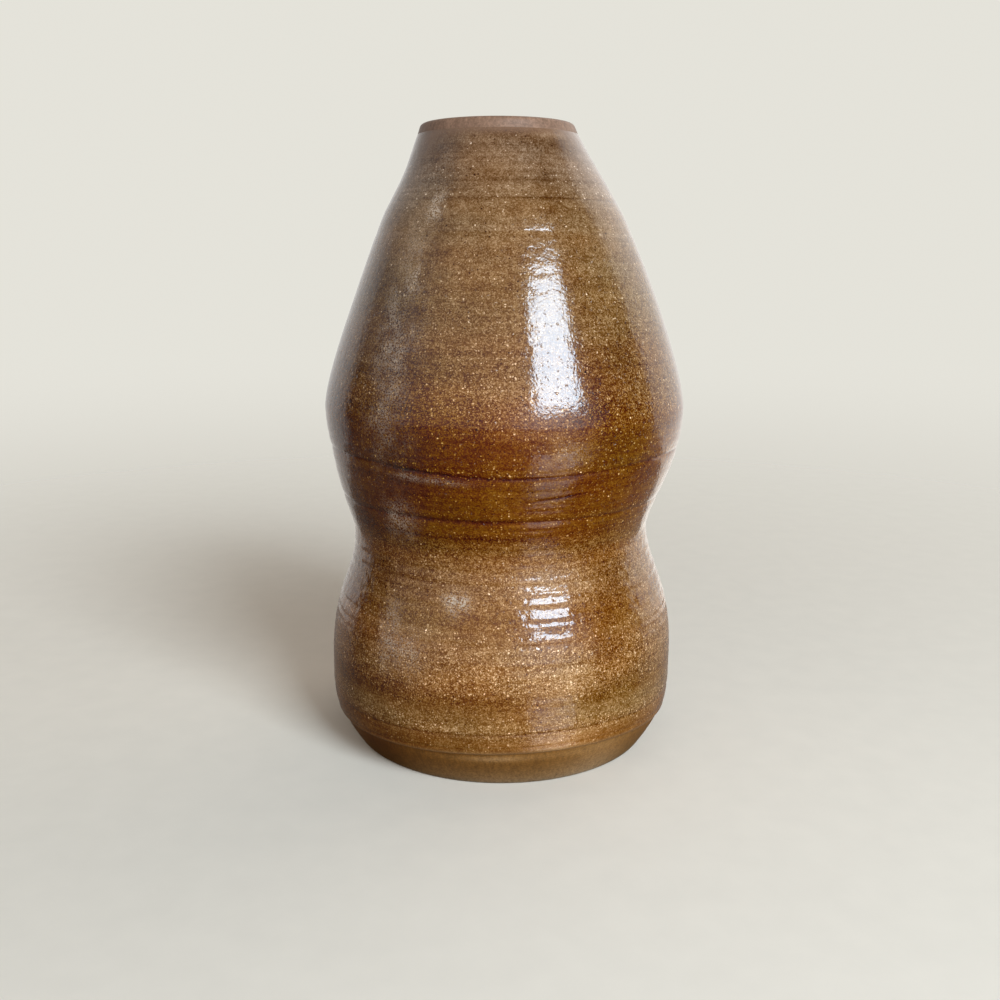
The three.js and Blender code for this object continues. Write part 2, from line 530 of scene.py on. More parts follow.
def close_and_shade(mesh, first_points):
    """Caps over the rows that start at those points, outward faces, and sharp edges where the form turns."""
    shaped = bmesh.new()
    shaped.from_mesh(mesh)
    shaped.verts.ensure_lookup_table()
    for first in first_points:
        shaped.faces.new([shaped.verts[first + column] for column in range(columns)])
    bmesh.ops.recalc_face_normals(shaped, faces=shaped.faces)
    for face in shaped.faces:
        face.smooth = True
    for edge in shaped.edges:
        edge.smooth = edge.calc_face_angle(0.0) < sharpest_smooth_angle
    shaped.to_mesh(mesh)
    shaped.free()


def add_object(name, data):
    made = bpy.data.objects.new(name, data)
    bpy.context.scene.collection.objects.link(made)
    return made


def turned_mesh(name, rows, closed_ring, marks=None):
    """A closed mesh from rows of points. It closes on itself, or on the axis at both ends.

    marks are values for the first rows, which the material reads. The other rows have 0.
    """
    radius, height = rows
    count = len(radius)
    points = [tuple(point) for point in turned_places(radius, height).reshape(-1, 3)]
    mesh = bpy.data.meshes.new(name)
    mesh.from_pydata(points, [], turned_faces(count, closed_ring))
    piece = add_object(name, mesh)
    close_and_shade(mesh, () if closed_ring else (0, (count - 1) * columns))
    for mark, values in (marks or {}).items():
        strengths = np.zeros(count * columns, dtype=np.float32)
        strengths[:values.size] = values.ravel()
        mesh.attributes.new(mark, "FLOAT", "POINT").data.foreach_set("value", strengths)
    return piece


def coat_thickness(height):
    """The outer coat swells into a rolled edge at the foot and thins away at both ends."""
    from_low = np.clip(height - glaze_low, 0, None)
    from_high = np.clip(glaze_high - height, 0, None)
    low_edge = np.sqrt(np.clip(1 - (1 - np.clip(from_low / low_edge_round, 0, 1)) ** 2, 0, 1))
    high_edge = np.clip(from_high / high_edge_fade, 0, 1) ** high_edge_bluntness
    bead = bead_rise * np.exp(-((from_low - bead_middle) / bead_half_width) ** 2)
    return glaze_gap + edge_film + (coat - edge_film + bead) * low_edge * high_edge


def make_outer_glaze():
    outside = crease_row_heights(glaze_low, glaze_high)
    back = row_heights(glaze_low, glaze_high, hidden_rows)[::-1]
    return turned_mesh("glaze_outside", stack(
        outer_wall(outside, coat_thickness(outside), True),
        outer_wall(back, glaze_gap, True),
    ), closed_ring=True, marks=glaze_marks(outside))


def underside_rows():
    """The hollow inside the foot ring and the ring's flat, from the axis outwards."""
    ring_inner = foot_radius - foot_ring_width
    hollow_edge = ring_inner - foot_hollow_slope
    points = [
        (axis_circle, foot_hollow_depth),
        (underside_circle, foot_hollow_depth),
        (hollow_edge - hollow_corner_inside, foot_hollow_depth),
        (hollow_edge + hollow_corner_outside, foot_hollow_depth - hollow_corner_outside),
        (ring_inner - ring_corner_inside, ring_corner_rise),
        (ring_inner + ring_corner_outside, 0),
        (ring_inner + ring_flat_row, 0),
    ]
    return plain_rows(*zip(*points))


def foot_edge_rows():
    angle = math.atan(foot_flare)
    centre = foot_radius - foot_edge_round * math.cos(angle)
    return plain_rows(*arc_rows(centre, foot_edge_round, foot_edge_round, -math.pi / 2, -angle))


def clay_wall_rows():
    """The outer wall, with fine rows only where the clay shows."""
    band = row_heights(wall_start, glaze_low + foot_overlap, fine_rows)[1:]
    hidden = row_heights(glaze_low + foot_overlap, glaze_high - lip_overlap, hidden_rows)[1:]
    top = row_heights(glaze_high - lip_overlap, wall_end, fine_rows)[1:]
    return outer_wall(np.concatenate([band, hidden, top]), 0.0, False)


def lip_rows():
    """The rounded lip, from the outer wall over to the inside."""
    angle = math.atan(lip_taper)
    outer = plain_rows(*arc_rows(
        lip_radius - lip_outer_round * math.cos(angle), total_height - lip_outer_round, lip_outer_round,
        angle, math.pi / 2,
    ))
    inner = plain_rows(*arc_rows(
        inside_radius(inner_edge) + lip_inner_round, inner_edge, lip_inner_round, math.pi / 2, math.pi,
    ))
    return stack(past_first(outer), inner)


def clay_inside_rows():
    """The inside wall from the lip down, its rounded corner and the floor."""
    wall = row_heights(corner_top, inner_edge, inside_rows)[:-1][::-1]
    corner = plain_rows(*arc_rows(
        inside_radius(corner_top) - inside_corner, corner_top, inside_corner, 0, -math.pi / 2,
    ))
    floor = plain_rows([floor_circle, axis_circle], [floor_top, floor_top])
    return stack(plain_rows(inside_radius(wall), wall), past_first(corner), floor)


def make_clay():
    rows = stack(underside_rows(), foot_edge_rows(), clay_wall_rows(), lip_rows(), clay_inside_rows())
    # The clay's tone mark: painted light and shade on the foot
    tone = np.sum(patch_layers(rows[1][:, 0], clay_light_and_shade_patches), axis=0)
    return turned_mesh("clay", rows, closed_ring=False, marks={"tone": tone})


def liner_line(offset):
    """Radii and heights of a face that lies offset inwards from the clay's inside, from floor to lip."""
    corner_radius, corner_height = arc_rows(
        inside_radius(corner_top) - inside_corner, corner_top, inside_corner - offset,
        -math.pi / 2, 0, liner_arc_steps,
    )
    wall = row_heights(corner_top, liner_high, liner_rows)[1:]
    radii = np.concatenate([liner_circles, corner_radius, inside_radius(wall) - offset])
    heights = np.concatenate([[floor_top + offset] * len(liner_circles), corner_height, wall])
    return radii, heights


def make_liner():
    radius, height = plain_rows(*liner_line(glaze_gap + liner_coat))
    fade_in = np.clip((radius - inner_rings_from) / inner_rings_fade_in, 0, 1)
    fade_out = np.clip((liner_high - height) / inner_rings_fade_out, 0, 1)
    spiral = 1 - np.cos(2 * math.pi * height / inner_ring_pitch - azimuths)
    pressed_in = inner_ring_depth * (fade_in * fade_out) * spiral / 2
    edge_share = np.clip((liner_high - height) / liner_edge_fade, 0, 1) ** 0.5
    radius = radius + pressed_in * edge_share + (liner_coat - liner_edge_film) * (1 - edge_share)
    hidden_radius, hidden_height = plain_rows(*liner_line(glaze_gap))
    return turned_mesh("glaze_lining", stack(
        (radius, height),
        (hidden_radius[::-1], hidden_height[::-1]),
    ), closed_ring=False)


# Material helpers

display_gamma = 2.2
# The share of a speck's radius within which it is at full strength
speck_core = 0.45
# How far a speck pattern's seed moves it along each axis
seed_steps = (1, 0.7, 1.3)


def node(tree, kind, inputs=None, **settings):
    """A shader node. An input given as a socket is linked, and any other value is set."""
    made = tree.nodes.new("ShaderNode" + kind)
    for name, value in settings.items():
        setattr(made, name, value)
    for name, value in (inputs or {}).items():
        if isinstance(value, bpy.types.NodeSocket):
            tree.links.new(value, made.inputs[name])
        else:
            made.inputs[name].default_value = value
    return made


def math_node(tree, operation, first, second=0.5):
    """A Math node's result. Its third input, where it has one, stays at 0.5."""
    return node(tree, "Math", {0: first, 1: second}, operation=operation).outputs[0]


def mapped(tree, value, low, high, new_low=0.0, new_high=1.0):
    return node(tree, "MapRange", {
        "Value": value, "From Min": low, "From Max": high, "To Min": new_low, "To Max": new_high,
    }, interpolation_type="SMOOTHSTEP").outputs["Result"]


def mix_colour(tree, share, first, second, blend="MIX"):
    made = node(tree, "Mix", {0: share, 6: first, 7: second}, data_type="RGBA", blend_type=blend)
    return made.outputs[2]


def ramp(tree, value, stops):
    """A colour ramp with stops of (position, (r, g, b))."""
    made = node(tree, "ValToRGB", {"Fac": value})
    made.color_ramp.interpolation = "LINEAR"
    while len(made.color_ramp.elements) < len(stops):
        made.color_ramp.elements.new(0.5)
    for element, (position, colour) in zip(made.color_ramp.elements, stops):
        element.position = position
        element.color = (*colour, 1)
    return made.outputs["Color"]


def noise(tree, place, scale, detail=2.0, roughness=0.5, output="Fac"):
    return node(tree, "TexNoise", {
        "Vector": place, "Scale": scale, "Detail": detail, "Roughness": roughness,
    }).outputs[output]


def stretched_noise(tree, place, around, upward, detail=2.0, roughness=0.5):
    """Noise with its own number of waves to the metre round the vase and up it."""
    stretched = node(tree, "Mapping", {"Vector": place, "Scale": (around, around, upward)}).outputs[0]
    return noise(tree, stretched, 1.0, detail, roughness)


def tinted(tree, colour, pattern, tints, low=0.3, high=0.7):
    """A colour multiplied by the two tints that a pattern runs between."""
    dark, light = tints
    return mix_colour(tree, 1.0, colour, ramp(tree, pattern, [(low, dark), (high, light)]), "MULTIPLY")


def swing(tree, pattern, depth, low, high):
    """A pattern turned into a tone that runs from darker to lighter by the depth."""
    return mapped(tree, pattern, low, high, -depth, depth)


def scaled(tree, first, second):
    return math_node(tree, "MULTIPLY", first, second)


def toned(tree, colour, tones, yellower=0.0):
    """A colour made lighter or darker by the sum of the tones, by the same step in each channel as seen.

    yellower is taken off the blue channel alone.
    """
    total = tones[0]
    for tone in tones[1:]:
        total = math_node(tree, "ADD", total, tone)
    seen = node(tree, "Gamma", {"Color": colour, "Gamma": 1 / display_gamma}).outputs[0]
    moved = node(tree, "VectorMath", {0: seen, 1: total}, operation="ADD").outputs[0]
    taken = node(tree, "CombineXYZ", {"Z": yellower}).outputs[0]
    moved = node(tree, "VectorMath", {0: moved, 1: taken}, operation="SUBTRACT").outputs[0]
    held = node(tree, "VectorMath", {0: moved, 1: (0, 0, 0)}, operation="MAXIMUM").outputs[0]
    return node(tree, "Gamma", {"Color": held, "Gamma": display_gamma}).outputs[0]


def painted(tree, mark):
    """A mark that the mesh carries."""
    return node(tree, "Attribute", attribute_name=mark).outputs["Fac"]


def jittered(tree, place, scale, reach):
    """Places moved about by noise, so that round marks turn out uneven."""
    shake = noise(tree, place, scale, 1.0, output="Color")
    centred = node(tree, "VectorMath", {0: shake, 1: (0.5, 0.5, 0.5)}, operation="SUBTRACT").outputs[0]
    moves = node(tree, "VectorMath", {0: centred, "Scale": reach}, operation="SCALE").outputs[0]
    return node(tree, "VectorMath", {0: place, 1: moves}, operation="ADD").outputs[0]


def specks(tree, place, kind, crowding=None):
    """Round specks in the cells of a grid. Crowding, a socket, scales their share."""
    count, radius, share, seed = kind
    if crowding is not None:
        share = scaled(tree, crowding, share)
    shift = tuple(seed * step for step in seed_steps)
    moved = node(tree, "Mapping", {"Vector": place, "Location": shift}).outputs[0]
    cells = node(tree, "TexVoronoi", {"Vector": moved, "Scale": count}, feature="F1")
    chance = node(tree, "SeparateColor", {"Color": cells.outputs["Color"]}).outputs["Red"]
    chosen = math_node(tree, "LESS_THAN", chance, share)
    disc = mapped(tree, cells.outputs["Distance"], radius, radius * speck_core)
    return scaled(tree, disc, chosen)


def cell_tones(tree, place, count):
    """A random value for each grain, with that many grains to the metre."""
    cells = node(tree, "TexVoronoi", {"Vector": place, "Scale": count}, feature="F1")
    return node(tree, "SeparateColor", {"Color": cells.outputs["Color"]}).outputs["Red"]


def bumped(tree, pattern, distance, below=None, strength=1.0, invert=False):
    """A normal bent by a pattern, on top of the bends below it."""
    inputs = {"Height": pattern, "Distance": distance, "Strength": strength}
    if below is not None:
        inputs["Normal"] = below
    return node(tree, "Bump", inputs, invert=invert).outputs[0]


def by_height(tree, height, zones):
    """A colour or value that runs through stops of (height, colour or value)."""
    stops = [(at / total_height, value if isinstance(value, tuple) else (value,) * 3) for at, value in zones]
    return ramp(tree, math_node(tree, "DIVIDE", height, total_height * MM), stops)


def empty_material(name):
    material = bpy.data.materials.new(name)
    material.use_nodes = True
    material.node_tree.nodes.clear()
    return material, material.node_tree


def new_material(name):
    """A material, its tree, its shader, and the place that patterns are drawn at."""
    material, tree = empty_material(name)
    shader = node(tree, "BsdfPrincipled")
    node(tree, "OutputMaterial", {"Surface": shader.outputs[0]})
    return material, tree, shader, node(tree, "TexCoord").outputs["Object"]


def height_of(tree, place):
    return node(tree, "SeparateXYZ", {"Vector": place}).outputs["Z"]


# Amber glaze

# Mean colour of the amber glaze by height, from the foot up
glaze_zones = [
    (11, (0.205, 0.08, 0.011)), (16, (0.195, 0.066, 0.007)), (22, (0.255, 0.112, 0.024)),
    (28, (0.168, 0.056, 0.003)), (35, (0.258, 0.107, 0.022)), (45, (0.237, 0.086, 0.014)),
    (53, (0.18, 0.062, 0.005)), (60, (0.19, 0.073, 0.013)), (68, (0.196, 0.069, 0.009)),
    (73, (0.156, 0.05, 0.002)), (78, (0.155, 0.04, 0)), (94, (0.14, 0.036, 0)),
    (109.5, (0.118, 0.025, 0)), (111.5, (0.138, 0.036, 0.001)), (125, (0.135, 0.045, 0.005)),
    (145, (0.16, 0.066, 0.013)), (168, (0.18, 0.08, 0.023)), (180, (0.173, 0.087, 0.037)),
    (191, (0.12, 0.052, 0.017)),
]
# Grains in a metre of glaze, their range of tone, the power that makes few of them light, and their mean then
grain_count = 3300
grain_depth = 0.36
grain_power = 1.6
grain_mean = 0.385
# How strongly the grains show, by height
grain_zones = [
    (11, 0.45), (16, 0.5), (20, 0.9), (26, 0.65), (33, 1), (42, 0.95), (47, 0.7), (60, 0.85),
    (73, 0.85), (80, 0.42), (104, 0.48), (113, 0.95), (125, 0.8), (150, 0.65), (170, 0.5), (191, 0.42),
]
# How strongly the wavering of the throwing rings shows, by height
waver_zones = [(11, 0.1), (36, 0.4), (44, 1), (64, 1), (72, 0.3), (100, 0.1), (191, 0.05)]
# How many light flecks there are, by height, and how many the dark lines add
fleck_zones = [
    (11, 0.1), (17, 0.2), (20, 1), (26, 0.3), (33, 1), (47, 1), (52, 0.25), (66, 0.4), (80, 0.3),
    (104, 0.45), (112, 0.7), (125, 0.45), (150, 0.18), (172, 0.12), (190, 0.05),
]
fleck_line_share = 0.6
# How deep the pinholes are, by height
hole_zones = [(11, 0.6), (60, 0.6), (75, 1), (150, 1), (163, 0.2), (191, 0.1)]

# Tints from a pattern's lowest value to its highest, and from the reddest patch to the most olive one
rust_tints = ((0.95, 1.03, 1.2), (1.06, 0.96, 0.8))
olive_tints = [(0, (1.06, 0.84, 0.6)), (0.5, (1, 1, 1)), (1, (0.98, 1.2, 1.6))]
# Colours of the ridge line, partly a painted highlight, of clay under thin glaze and of milky glaze, partly a
# painted reflection
ridge_highlight_colour = (0.33, 0.19, 0.085, 1)
thin_colour = (0.19, 0.105, 0.065, 1)
milk_and_sheen_colour = (0.55, 0.425, 0.315, 1)
ridge_highlight_share = 0.75

# Noise in the glaze: waves in a metre round the vase and up it, detail, roughness
zone_sway = (18, 40, 3)
rust = (26, 60, 3)
drips = (60, 7)
streaks = (9, 330, 4, 0.6)
fine_lines = (30, 1500)
line_gaps = (45, 45, 3)
milk_grain = (2100, 2300, 2, 0.7)
# Noise that is alike in all directions: waves in a metre, detail, roughness
blotches = (480, 3, 0.6)
fleck_clouds = (210,)
milk_clouds = (160, 3, 0.6)
peel = (420, 3)
fine_relief = (1500, 1)
waver = (300,)
# How far the colour zones sway up and down
sway_reach = 0.004
# The noise that makes specks uneven: waves in a metre, reach
jitter = (1500, 0.0006)

# The part of a pattern's values that is spread out, and the values that it then runs between
rust_range = (0.35, 0.65)
fleck_cloud_range = (0.35, 0.62, 0.35, 1.25)
line_gap_range = (0.3, 0.6, 0.45, 1)
milk_grain_range = (0.42, 0.58, 0, 1.4)
milk_cloud_range = (0.35, 0.65, 0.25, 1)
# The tone by which a pattern swings either way, and the part of its values that is spread out
drip_swing = (0.02, 0.35, 0.65)
streak_swing = (0.022, 0.3, 0.7)
line_swing = (0.022, 0.3, 0.7)
blotch_swing = (0.03, 0.36, 0.64)
# Tones of the marks; the tone marks carry painted light and shade, and the crease mark painted shade
patch_tone = 0.22
iron_tone = -0.2
gold_tone = 0.3
cream_tone = 0.42
crease_shade_tone = -0.16

# Kinds of specks: cells in a metre, radius in cells, share of the cells that have one, seed
iron_specks = (900, 0.28, 0.16, 3.1)
gold_specks = (1400, 0.4, 0.5, 0)
cream_specks = (700, 0.26, 0.28, 7.7)
small_holes = (1100, 0.28, 0.3, 5.3)
large_holes = (420, 0.2, 0.28, 9.1)
# Heights of the relief
peel_relief = 0.0001
waver_relief = 0.00025
grain_relief = 0.00003
hole_relief = 0.0001


def glaze_ground(tree, place, level):
    """The glaze's mean colour by height, with drifts towards rust and olive."""
    zones = by_height(tree, level, glaze_zones)
    rusted = tinted(tree, zones, stretched_noise(tree, place, *rust), rust_tints, *rust_range)
    leaning = math_node(tree, "MULTIPLY_ADD", painted(tree, "olive"), 0.5)
    return mix_colour(tree, 1.0, rusted, ramp(tree, leaning, olive_tints), "MULTIPLY")


def glaze_tones(tree, place, level, uneven, broken):
    """What makes the glaze lighter and darker from place to place, painted sheens and shade among it."""
    clouds = mapped(tree, noise(tree, place, *fleck_clouds), *fleck_cloud_range)
    share = scaled(tree, by_height(tree, level, fleck_zones), clouds)
    crowding = math_node(tree, "ADD", share, scaled(tree, painted(tree, "flecks"), fleck_line_share))
    lumps = math_node(tree, "POWER", cell_tones(tree, place, grain_count), grain_power)
    grains = math_node(tree, "SUBTRACT", lumps, grain_mean)
    depth = scaled(tree, by_height(tree, level, grain_zones), grain_depth)
    return [
        # Tone patches: the glaze's own tone, with painted sheens, highlight fringes and shade
        scaled(tree, painted(tree, "tone"), patch_tone),
        swing(tree, stretched_noise(tree, place, *drips), *drip_swing),
        swing(tree, stretched_noise(tree, place, *streaks), *streak_swing),
        swing(tree, stretched_noise(tree, place, *fine_lines), *line_swing),
        swing(tree, noise(tree, place, *blotches), *blotch_swing),
        scaled(tree, grains, depth),
        scaled(tree, specks(tree, uneven, iron_specks), iron_tone),
        scaled(tree, specks(tree, uneven, gold_specks, crowding), gold_tone),
        scaled(tree, specks(tree, uneven, cream_specks, crowding), cream_tone),
        # Painted shade in the grooves and creases
        scaled(tree, scaled(tree, painted(tree, "crease"), broken), crease_shade_tone),
    ]


def glaze_with_marks(tree, place, shaded, broken):
    """The shaded glaze with its ridge line and milky patches, partly painted highlight and reflection, and
    thin stretches.
    """
    ridge = scaled(tree, painted(tree, "ridge"), ridge_highlight_share)
    ridged = mix_colour(tree, ridge, shaded, ridge_highlight_colour)
    bared = mix_colour(tree, scaled(tree, painted(tree, "thin"), broken), ridged, thin_colour)
    grain = mapped(tree, stretched_noise(tree, place, *milk_grain), *milk_grain_range)
    cloud = mapped(tree, noise(tree, place, *milk_clouds), *milk_cloud_range)
    milk_and_sheen = scaled(tree, scaled(tree, painted(tree, "milk_and_sheen"), cloud), grain)
    return mix_colour(tree, milk_and_sheen, bared, milk_and_sheen_colour)


def glaze_relief(tree, place, level, uneven):
    """The coat's normal: orange peel, wavering, fine grain and pinholes."""
    peeled = bumped(tree, noise(tree, place, *peel), peel_relief)
    strength = by_height(tree, level, waver_zones)
    wavering = bumped(tree, noise(tree, place, *waver), waver_relief, peeled, strength)
    grained = bumped(tree, noise(tree, place, *fine_relief), grain_relief, wavering)
    holes = math_node(tree, "MAXIMUM", specks(tree, uneven, small_holes), specks(tree, uneven, large_holes))
    return bumped(tree, holes, hole_relief, grained, by_height(tree, level, hole_zones), invert=True)


def amber_glaze():
    material, tree, shader, place = new_material("amber_glaze")
    wobble = math_node(tree, "SUBTRACT", stretched_noise(tree, place, *zone_sway), 0.5)
    level = math_node(tree, "ADD", height_of(tree, place), scaled(tree, wobble, sway_reach))
    uneven = jittered(tree, place, *jitter)
    broken = mapped(tree, stretched_noise(tree, place, *line_gaps), *line_gap_range)
    tones = glaze_tones(tree, place, level, uneven, broken)
    shaded = toned(tree, glaze_ground(tree, place, level), tones, painted(tree, "yellow"))
    tree.links.new(glaze_with_marks(tree, place, shaded, broken), shader.inputs["Base Color"])
    relief = glaze_relief(tree, place, level, uneven)
    tree.links.new(relief, shader.inputs["Normal"])
    tree.links.new(relief, shader.inputs["Coat Normal"])
    shader.inputs["Roughness"].default_value = 0.45
    shader.inputs["Specular IOR Level"].default_value = 0.03
    shader.inputs["Coat Weight"].default_value = 1.0
    shader.inputs["Coat Roughness"].default_value = 0.10
    shader.inputs["Coat IOR"].default_value = 1.52
    return material


# Bare clay

# Mean colour by share of the height: the foot band and the lip
clay_zones = [
    (0, (0.2, 0.13, 0.065)), (0.012, (0.2, 0.1, 0.03)), (0.05, (0.195, 0.08, 0.014)),
    (0.06, (0.195, 0.08, 0.014)), (0.95, (0.165, 0.085, 0.028)), (0.985, (0.21, 0.116, 0.072)),
]
# Rubbed streaks and grain: noise as for the glaze, and its tints
rub = (900, 60)
rub_tints = ((0.82, 0.8, 0.78), (1.15, 1.15, 1.15))
clay_grain = (1800, 2)
clay_grain_tints = ((0.8, 0.78, 0.75), (1.2, 1.2, 1.2))
grain_range = (0.35, 0.65)
clay_iron = (500, 0.2, 0.3, 2.2)
iron_share = 0.5
iron_colour = (0.07, 0.04, 0.02, 1)
clay_bumps = (900, 3)


def bare_clay():
    material, tree, shader, place = new_material("bare_stoneware")
    level = math_node(tree, "DIVIDE", height_of(tree, place), total_height * MM)
    # The tone mark paints light and shade on the foot
    base = toned(tree, ramp(tree, level, clay_zones), [scaled(tree, painted(tree, "tone"), patch_tone)])
    rubbed = tinted(tree, base, stretched_noise(tree, place, *rub), rub_tints)
    grained = tinted(tree, rubbed, noise(tree, place, *clay_grain), clay_grain_tints, *grain_range)
    iron = scaled(tree, specks(tree, place, clay_iron), iron_share)
    tree.links.new(mix_colour(tree, iron, grained, iron_colour), shader.inputs["Base Color"])
    bump = bumped(tree, noise(tree, place, *clay_bumps), grain_relief)
    tree.links.new(bump, shader.inputs["Normal"])
    shader.inputs["Roughness"].default_value = 0.48
    shader.inputs["Specular IOR Level"].default_value = 0.35
    return material


# Glaze lining

pools = (20, 120, 3)
pool_colours = [(0.3, (0.075, 0.036, 0.013)), (0.7, (0.14, 0.075, 0.028))]
mottle = (1500, 2)
mottle_tints = ((0.7, 0.68, 0.65), (1.3, 1.3, 1.3))
liner_bumps = (400, 2)


def lining_glaze():
    material, tree, shader, place = new_material("liner_glaze")
    base = ramp(tree, stretched_noise(tree, place, *pools), pool_colours)
    mottled = tinted(tree, base, noise(tree, place, *mottle), mottle_tints, *grain_range)
    tree.links.new(mottled, shader.inputs["Base Color"])
    bump = bumped(tree, noise(tree, place, *liner_bumps), grain_relief)
    tree.links.new(bump, shader.inputs["Normal"])
    shader.inputs["Roughness"].default_value = 0.16
    shader.inputs["IOR"].default_value = 1.5
    return material


# Camera and lights

camera_place = Vector((-0.0004, -0.3493, 0.1559))
camera_pitch = math.radians(12.739)
camera_yaw = math.radians(-0.135)
camera_roll = math.radians(0.269)
camera_lens = 39.0
camera_sensor = 36.0
camera_near = 0.01
window_azimuth = math.radians(33.6)
window_distance = 1.0
window_width = 0.50
window_low = 0.36
window_high = 0.99
window_radiance = 20.0
window_colour = (0.71, 0.86, 1.0)


def make_camera():
    data = bpy.data.cameras.new("camera")
    data.lens = camera_lens
    data.sensor_width = camera_sensor
    data.clip_start = camera_near
    camera = add_object("camera", data)
    ahead = Vector((math.sin(camera_yaw) * math.cos(camera_pitch),
                    math.cos(camera_yaw) * math.cos(camera_pitch), -math.sin(camera_pitch)))
    level = Vector((math.cos(camera_yaw), -math.sin(camera_yaw), 0))
    upward = level.cross(ahead)
    right = level * math.cos(camera_roll) + upward * math.sin(camera_roll)
    up = upward * math.cos(camera_roll) - level * math.sin(camera_roll)
    camera.matrix_world = Matrix.Translation(camera_place) @ Matrix((right, up, -ahead)).transposed().to_4x4()
    bpy.context.scene.camera = camera


def make_window():
    """An upright rectangle of light, facing the vase's axis, that the camera doesn't see."""
    data = bpy.data.lights.new("window", "AREA")
    data.shape = "RECTANGLE"
    data.size = window_width
    data.size_y = window_high - window_low
    data.energy = window_radiance * math.pi * window_width * (window_high - window_low)
    data.color = window_colour
    window = add_object("window", data)
    across = window_distance * math.sin(window_azimuth)
    towards = window_distance * math.cos(window_azimuth)
    window.location = (across, -towards, (window_low + window_high) / 2)
    window.rotation_euler = (math.pi / 2, 0, window_azimuth)
    window.visible_camera = False


# Soft light that the room sends to the vase. Each part has its colour, its brightness by azimuth, and the
# share of that by the sine of the angle above the horizon
room_glows = [
    # Walls and ceiling, above eye level
    ((1, 0.985, 0.96),
     [(-180, 0.65), (-130, 0.55), (-105, 0.5), (-85, 0.62), (-60, 0.72), (-40, 0.75), (-10, 0.75),
      (20, 0.72), (50, 0.4), (60, 0.1), (98, 0.05), (103, 0.25), (106, 1.15), (122, 1.35), (135, 1.45),
      (155, 1.4), (180, 0.7)],
     [(0.2, 0), (0.42, 1), (0.6, 0.95), (0.75, 0.4), (1, 0.1)]),
    # The same at eye level, with a dark gap on each side
    ((1, 0.985, 0.96),
     [(-180, 0.75), (-150, 0.8), (-135, 0.8), (-122, 0.7), (-116, 0.25), (-112, 0.03), (-93, 0.02),
      (-85, 0.32), (-70, 0.44), (-40, 0.58), (-2, 0.65), (8, 1.2), (18, 2.3), (36, 2.9), (47, 1.9),
      (58, 0.8), (68, 0.05), (84, 0), (101, 0.03), (105, 0.25), (108, 1.1), (130, 1.15), (160, 1.1),
      (180, 0.75)],
     [(-0.4, 0), (-0.24, 0.45), (-0.09, 0.85), (0.06, 1), (0.2, 1), (0.42, 0)]),
    # Low light from behind the vase
    ((1, 0.96, 0.88),
     [(-180, 0.45), (-150, 0.3), (-125, 0.28), (-115, 0), (105, 0), (108, 0.9), (150, 1.1),
      (165, 0.95), (180, 0.45)],
     [(-0.8, 1), (-0.3, 1), (-0.12, 0.1)]),
]
# Dim tone of the room below eye level, and the rise between which it ends
low_tone = (0.06, 0.046, 0.032, 1)
low_tone_edge = (-0.16, -0.04)


def by_azimuth(tree, azimuth, stops, brightest):
    turn = math_node(tree, "ADD", math_node(tree, "DIVIDE", azimuth, 2 * math.pi), 0.5)
    return ramp(tree, turn, [(at / 360 + 0.5, (value / brightest,) * 3) for at, value in stops])


def by_rise(tree, rise, stops):
    level = math_node(tree, "MULTIPLY_ADD", rise, 0.5)
    return ramp(tree, level, [(at / 2 + 0.5, (value,) * 3) for at, value in stops])


def make_world():
    world = bpy.data.worlds.new("studio")
    bpy.context.scene.world = world
    world.use_nodes = True
    tree = world.node_tree
    way = node(tree, "SeparateXYZ", {"Vector": node(tree, "TexCoord").outputs["Generated"]})
    azimuth = math_node(tree, "ARCTAN2", way.outputs["X"], scaled(tree, way.outputs["Y"], -1.0))
    brightest = max(value for _, stops, _ in room_glows for _, value in stops)
    low_share = mapped(tree, way.outputs["Z"], *low_tone_edge, 1.0 / brightest, 0.0)
    total = mix_colour(tree, 1.0, low_share, low_tone, "MULTIPLY")
    for colour, around, upward in room_glows:
        glow = mix_colour(tree, 1.0, by_azimuth(tree, azimuth, around, brightest),
                          by_rise(tree, way.outputs["Z"], upward), "MULTIPLY")
        total = mix_colour(tree, 1.0, total, mix_colour(tree, 1.0, glow, (*colour, 1), "MULTIPLY"), "ADD")
    background = tree.nodes["Background"]
    tree.links.new(total, background.inputs["Color"])
    background.inputs["Strength"].default_value = brightest


# Floor, tabletop and backdrop

floor_radius = 1.6
floor_sides = 96
# The floor fades between these distances from the vase, evenly in 1 / (distance + camera_reach)
floor_fade_start = 0.12
floor_fade_end = 1.4
camera_reach = 0.35
floor_colour = (0.79, 0.7, 0.59, 1)
floor_grain = (90, 4)
floor_tints = ((0.985, 0.985, 0.985), (1.015, 1.015, 1.015))
# The tabletop: left, right, front and back edge, and how far it lies below the floor
table_sides = (-0.9, 0.9, -1.2, 0.15)
table_drop = 0.0002
table_colour = (0.13, 0.08, 0.045, 1)
table_grain = (60, 4)
table_tints = ((0.7, 0.7, 0.7), (1.3, 1.3, 1.3))
table_glint = (1, 0.76, 0.64, 1)
backdrop_radius = 5
backdrop_sides = 48
backdrop_rings = 24
backdrop_colour = (0.78, 0.765, 0.7, 1)


def mesh_from(name, shape):
    mesh = bpy.data.meshes.new(name)
    shape.to_mesh(mesh)
    shape.free()
    return mesh


def hide_from_light(piece):
    """Leaves a piece of the stage to the camera alone."""
    piece.visible_diffuse = False
    piece.visible_glossy = False
    piece.visible_transmission = False
    piece.visible_shadow = False


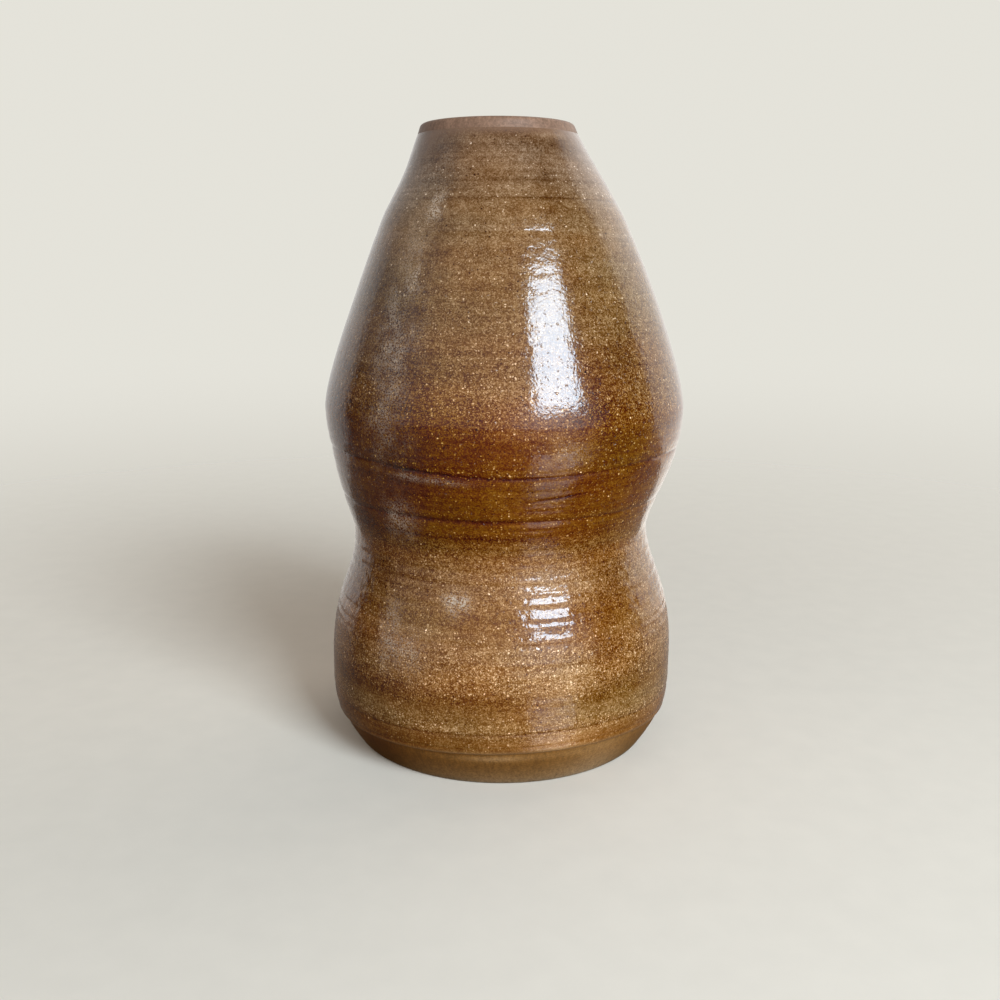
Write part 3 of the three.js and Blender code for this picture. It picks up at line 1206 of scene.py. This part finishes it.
def floor_material():
    material, tree = empty_material("floor")
    place = node(tree, "TexCoord").outputs["Object"]
    pale = tinted(tree, floor_colour, noise(tree, place, *floor_grain), floor_tints)
    surface = node(tree, "BsdfPrincipled", {"Base Color": pale, "Roughness": 0.8, "Specular IOR Level": 0.1})
    away = node(tree, "VectorMath", {0: place}, operation="LENGTH").outputs["Value"]
    nearness = math_node(tree, "DIVIDE", 1.0, math_node(tree, "ADD", away, camera_reach))
    farthest = 1 / (floor_fade_end + camera_reach)
    shown = mapped(tree, nearness, farthest, 1 / (floor_fade_start + camera_reach))
    clear = node(tree, "BsdfTransparent").outputs[0]
    faded = node(tree, "MixShader", {0: shown, 1: clear, 2: surface.outputs[0]})
    node(tree, "OutputMaterial", {"Surface": faded.outputs[0]})
    return material


def make_floor():
    """A pale floor that fades into the backdrop. Only the camera sees it: the glaze reflects the tabletop."""
    shape = bmesh.new()
    bmesh.ops.create_circle(shape, cap_ends=True, segments=floor_sides, radius=floor_radius)
    piece = add_object("floor", mesh_from("floor", shape))
    piece.data.materials.append(floor_material())
    hide_from_light(piece)


def table_material():
    material, tree = empty_material("table")
    place = node(tree, "TexCoord").outputs["Object"]
    worn = tinted(tree, table_colour, noise(tree, place, *table_grain), table_tints)
    surface = node(tree, "BsdfPrincipled", {
        "Base Color": worn, "Roughness": 0.17, "Specular IOR Level": 0.9, "Specular Tint": table_glint,
    })
    node(tree, "OutputMaterial", {"Surface": surface.outputs[0]})
    return material


def make_table():
    """A dark tabletop that the camera doesn't see. It shows in the glaze and shades the light from below."""
    left, right, front, back = table_sides
    corners = [(left, front), (right, front), (right, back), (left, back)]
    mesh = bpy.data.meshes.new("table")
    mesh.from_pydata([(x, y, -table_drop) for x, y in corners], [], [(0, 1, 2, 3)])
    piece = add_object("table", mesh)
    mesh.materials.append(table_material())
    piece.visible_camera = False


def backdrop_material():
    material, tree = empty_material("backdrop")
    glow = node(tree, "Emission", {"Color": backdrop_colour, "Strength": 1.0})
    node(tree, "OutputMaterial", {"Surface": glow.outputs[0]})
    return material


def make_backdrop():
    """A pale surround that only the camera sees."""
    shell = bmesh.new()
    bmesh.ops.create_uvsphere(
        shell, u_segments=backdrop_sides, v_segments=backdrop_rings, radius=backdrop_radius,
    )
    piece = add_object("backdrop", mesh_from("backdrop", shell))
    piece.data.materials.append(backdrop_material())
    hide_from_light(piece)


def dress(piece, material, node_name):
    piece.data.materials.append(material)
    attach(piece, "root")
    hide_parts(node_name)


make_camera()
make_window()
make_world()
make_floor()
make_table()
make_backdrop()
dress(make_outer_glaze(), amber_glaze(), "outer_glaze")
dress(make_clay(), bare_clay(), "clay_body")
dress(make_liner(), lining_glaze(), "liner_glaze")
bpy.context.scene.view_settings.view_transform = "Standard"
